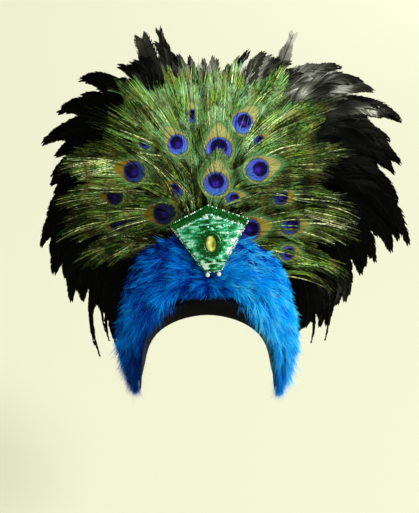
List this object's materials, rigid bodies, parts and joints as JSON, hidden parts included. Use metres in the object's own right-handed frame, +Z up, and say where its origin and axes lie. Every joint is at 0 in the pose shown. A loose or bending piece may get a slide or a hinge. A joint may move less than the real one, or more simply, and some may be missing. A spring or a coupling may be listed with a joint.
{
  "type": "showgirl feather headdress",
  "caption": "Felt cap with ear flaps under a tall fan of peacock and black cock feathers, blue plumage round the face and a green kite plaque with an oval stone.",
  "frame": {"origin": "top of the head hollow, where the inside of the cap rests on the crown of the head", "axes": "+Z up, -Y towards the front of the headdress, +X to the right of a front view"},
  "size_m": [0.4189, 0.1611, 0.4238],
  "materials": {
    "black_felt": "matt pressed felt",
    "black_velvet": "short-pile velvet binding",
    "blue_plumage": "dyed fluffy hackle feathers",
    "green_lame": "glittering lame with small sequins",
    "dark_green_patch": "dark sequinned patch",
    "olivine_stone": "cut acrylic stone",
    "pearl_bead": "pearl bead",
    "cock_plume": "glossy black cock tail feathers",
    "peacock_herl": "iridescent peacock tail feathers"
  },
  "bodies": {
    "root": {"cap": "black_felt", "brow_band": "black_velvet", "fan_base": "black_felt", "blue_plumage": "blue_plumage", "kite_plaque": "green_lame", "stone_patch": "dark_green_patch", "oval_stone": "olivine_stone", "end_bead_left": "pearl_bead", "end_bead_right": "pearl_bead", "cock_spray_near_1": "cock_plume", "cock_spray_near_2": "cock_plume", "cock_spray_near_3": "cock_plume", "cock_spray_near_4": "cock_plume", "cock_spray_rear_1": "cock_plume", "cock_spray_rear_2": "cock_plume", "cock_spray_rear_3": "cock_plume", "cock_spray_rear_4": "cock_plume", "peacock_centre_front": "peacock_herl", "peacock_centre_rear": "peacock_herl", "peacock_left_brow": "peacock_herl", "peacock_left_cheek": "peacock_herl", "peacock_left_wing": "peacock_herl", "peacock_left_inner": "peacock_herl", "peacock_left_rise": "peacock_herl", "peacock_left_outer": "peacock_herl", "peacock_left_shoulder": "peacock_herl", "peacock_left_crest": "peacock_herl", "peacock_left_peak": "peacock_herl", "peacock_right_brow": "peacock_herl", "peacock_right_inner": "peacock_herl", "peacock_right_wing": "peacock_herl", "peacock_right_cheek": "peacock_herl", "peacock_right_jaw": "peacock_herl", "peacock_right_outer": "peacock_herl", "peacock_right_shoulder": "peacock_herl", "peacock_right_crest": "peacock_herl", "herl_left_jaw": "peacock_herl", "herl_left_side": "peacock_herl", "herl_left_top": "peacock_herl", "herl_left_low": "peacock_herl", "herl_centre_left": "peacock_herl", "herl_centre_right": "peacock_herl", "herl_right_top": "peacock_herl", "herl_right_high": "peacock_herl", "herl_right_side": "peacock_herl", "herl_right_low": "peacock_herl"}
  },
  "joints": []
}
